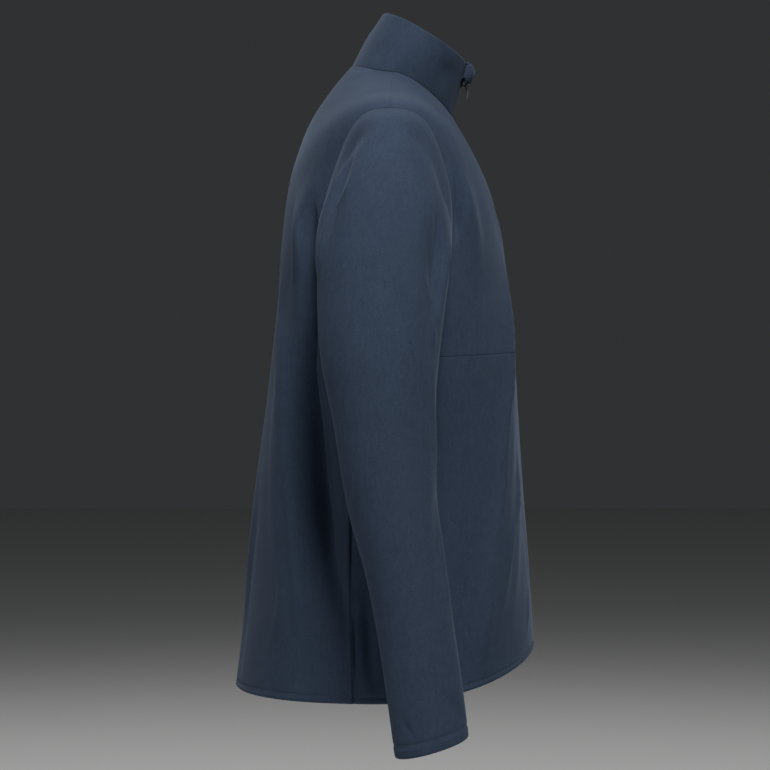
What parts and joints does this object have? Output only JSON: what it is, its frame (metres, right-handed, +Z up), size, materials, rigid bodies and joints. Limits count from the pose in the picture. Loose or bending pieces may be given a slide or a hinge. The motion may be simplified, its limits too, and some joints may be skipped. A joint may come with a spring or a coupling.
{
  "type": "fleece zip jacket",
  "caption": "Long-sleeved fleece jacket with a stand collar and a full front zip, hollow and shaped as worn.",
  "frame": {"origin": "middle of the neck opening at the height of the collar seam", "axes": "+Z up, -Y to the front of the jacket, -X to the right arm of the one who wears it"},
  "size_m": [0.662, 0.3429, 0.8173],
  "materials": {
    "fleece": "brushed microfleece, soft nap, slate navy",
    "zip_tape": "woven tape with a coil, dark navy",
    "slider_metal": "dark enamel, satin",
    "pull_grey": "moulded, grey-green, satin"
  },
  "bodies": {
    "jacket": {"back": "fleece", "front_upper_right": "fleece", "front_lower_right": "fleece", "sleeve_right": "fleece", "front_upper_left": "fleece", "front_lower_left": "fleece", "sleeve_left": "fleece", "collar": "fleece", "zip_tape_right": "zip_tape", "zip_tape_left": "zip_tape", "zip_garage": "fleece", "slider": "slider_metal"},
    "pull_tab": {"pull_tab": "pull_grey"}
  },
  "joints": [
    {"name": "pull_tab_swing", "type": "hinge", "parent": "jacket", "child": "pull_tab", "pos_m": [0, -0.0747, 0.008], "axis": [-1, 0, 0], "range_deg": [-24, 42]}
  ]
}
